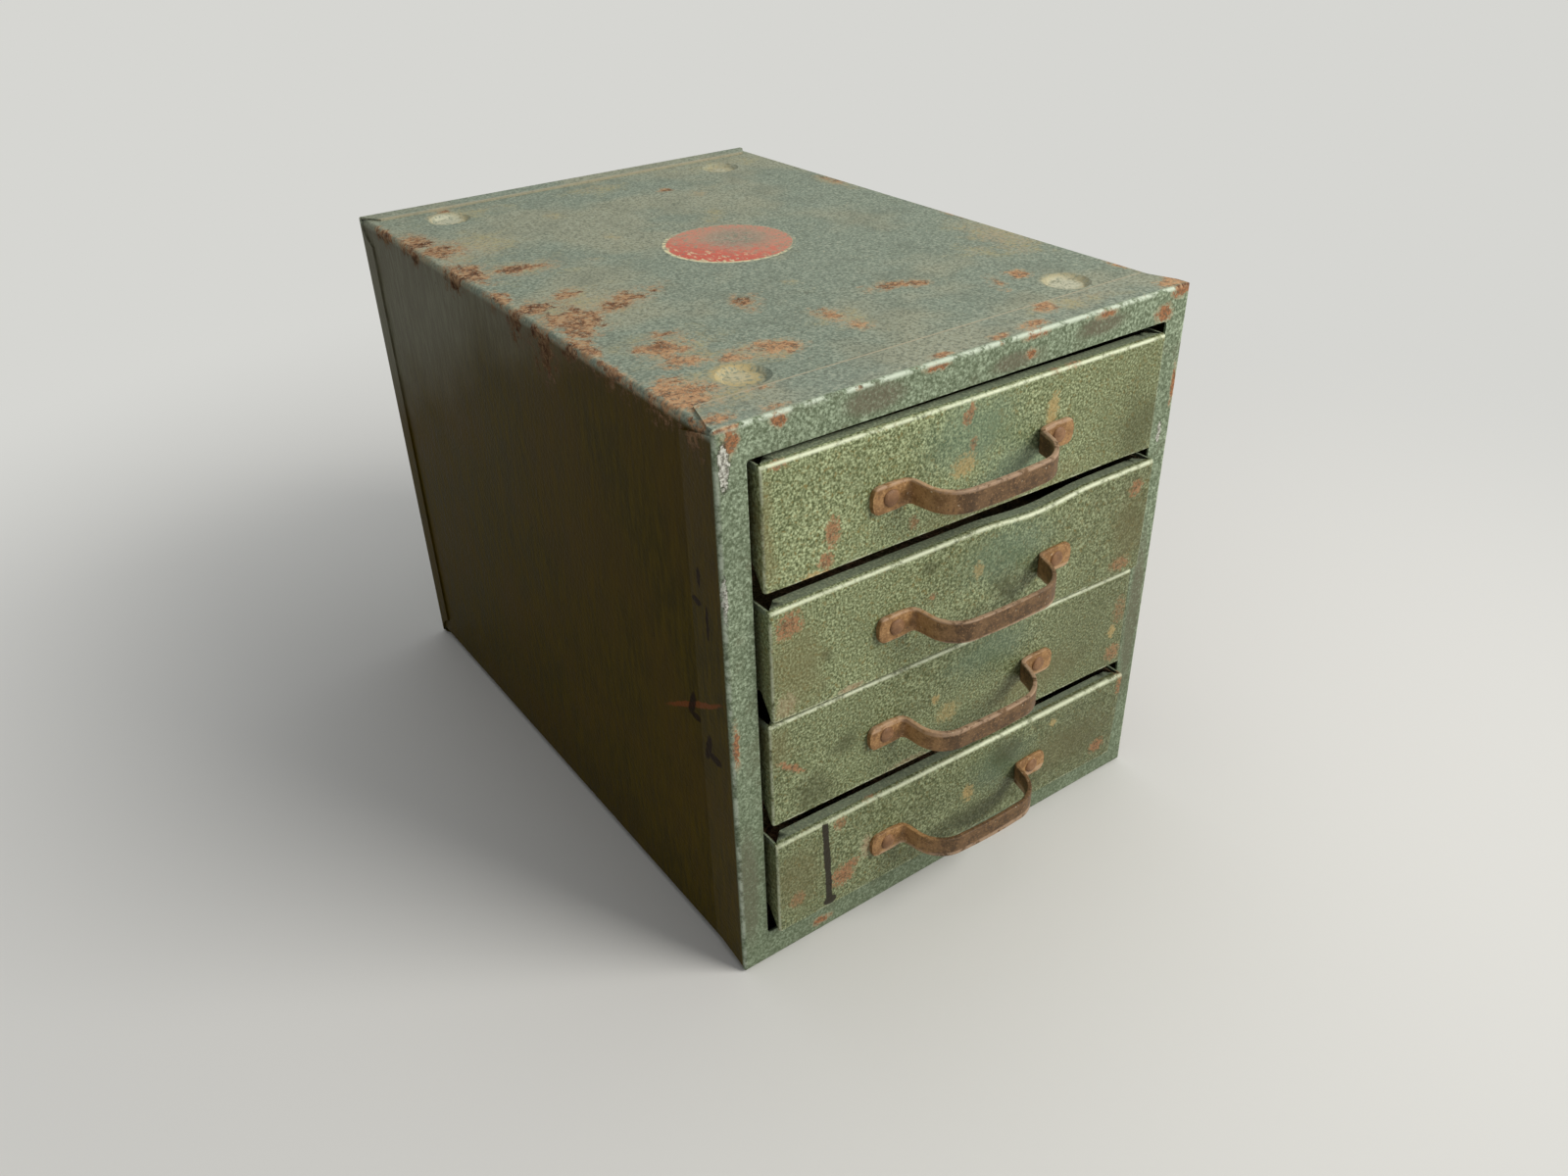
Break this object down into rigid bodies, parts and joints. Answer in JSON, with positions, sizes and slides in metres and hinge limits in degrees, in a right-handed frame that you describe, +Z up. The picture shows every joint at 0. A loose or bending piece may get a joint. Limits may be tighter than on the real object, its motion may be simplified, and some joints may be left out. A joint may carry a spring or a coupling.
{
  "type": "parts cabinet",
  "caption": "Bench-top sheet-steel parts cabinet with pull-out drawers on runners and riveted strap handles.",
  "frame": {"origin": "on the surface it stands on, below the middle of the whole cabinet with its handles", "axes": "+Z up, +Y from the drawer fronts towards the back, the drawers pull out towards -Y"},
  "size_m": [0.216, 0.3338, 0.2333],
  "materials": {
    "casing_paint": "worn grey-green hammered enamel with rust",
    "frame_paint": "worn blue-green hammered enamel with bare edges",
    "drawer_paint": "worn olive green hammered enamel",
    "tray_steel": "thin olive paint browned with rust",
    "runner_steel": "bare steel browned with age",
    "handle_steel": "plated steel turned to fine brown rust",
    "rivet_steel": "rusty steel"
  },
  "bodies": {
    "cabinet": {"shell": "casing_paint", "bottom_panel": "casing_paint", "front_frame": "frame_paint", "back_panel": "casing_paint", "runner_left_1": "runner_steel", "runner_right_1": "runner_steel", "runner_left_2": "runner_steel", "runner_right_2": "runner_steel", "runner_left_3": "runner_steel", "runner_right_3": "runner_steel", "runner_left_4": "runner_steel", "runner_right_4": "runner_steel"},
    "drawer_1": {"drawer_1_front": "drawer_paint", "drawer_1_tray": "tray_steel", "drawer_1_back": "tray_steel", "drawer_1_handle": "handle_steel", "drawer_1_rivets": "rivet_steel"},
    "drawer_2": {"drawer_2_front": "drawer_paint", "drawer_2_tray": "tray_steel", "drawer_2_back": "tray_steel", "drawer_2_handle": "handle_steel", "drawer_2_rivets": "rivet_steel"},
    "drawer_3": {"drawer_3_front": "drawer_paint", "drawer_3_tray": "tray_steel", "drawer_3_back": "tray_steel", "drawer_3_handle": "handle_steel", "drawer_3_rivets": "rivet_steel"},
    "drawer_4": {"drawer_4_front": "drawer_paint", "drawer_4_tray": "tray_steel", "drawer_4_back": "tray_steel", "drawer_4_handle": "handle_steel", "drawer_4_rivets": "rivet_steel"}
  },
  "joints": [
    {"name": "drawer_1_slide", "type": "slide", "parent": "cabinet", "child": "drawer_1", "axis": [0, -1, 0], "range_m": [-0.0009, 0.24]},
    {"name": "drawer_2_slide", "type": "slide", "parent": "cabinet", "child": "drawer_2", "axis": [0, -1, 0], "range_m": [-0.0032, 0.24]},
    {"name": "drawer_3_slide", "type": "slide", "parent": "cabinet", "child": "drawer_3", "axis": [0, -1, 0], "range_m": [-0.0006, 0.24]},
    {"name": "drawer_4_slide", "type": "slide", "parent": "cabinet", "child": "drawer_4", "axis": [0, -1, 0], "range_m": [-0.0023, 0.24]}
  ]
}
